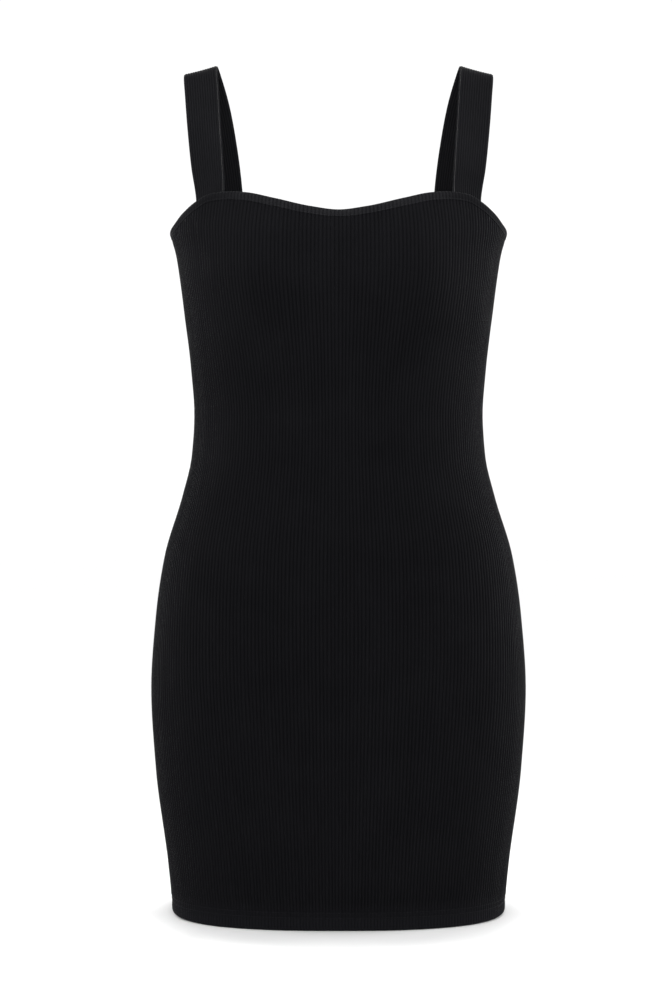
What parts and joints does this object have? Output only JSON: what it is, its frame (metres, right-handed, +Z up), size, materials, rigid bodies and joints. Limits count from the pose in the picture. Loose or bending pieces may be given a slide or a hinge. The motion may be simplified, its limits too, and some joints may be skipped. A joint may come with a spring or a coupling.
{
  "type": "bodycon dress",
  "caption": "Sleeveless rib-knit bodycon mini dress with a soft sweetheart neckline and wide shoulder straps, hollow and filled out as worn.",
  "frame": {"origin": "midway between the two straps, at the height of their undersides where they rest on the shoulders", "axes": "+Z up towards the wearer's head; -Y the way the dress's front faces; +X towards the wearer's left"},
  "size_m": [0.3634, 0.2399, 0.826],
  "materials": {
    "rib_knit": "matt black vertical rib knit",
    "rib_strap": "matt black rib knit, folded double",
    "rib_binding": "matt black rib knit binding"
  },
  "bodies": {
    "root": {"front_panel": "rib_knit", "back_panel": "rib_knit", "front_binding": "rib_binding", "back_binding": "rib_binding", "left_strap": "rib_strap", "right_strap": "rib_strap"}
  },
  "joints": []
}
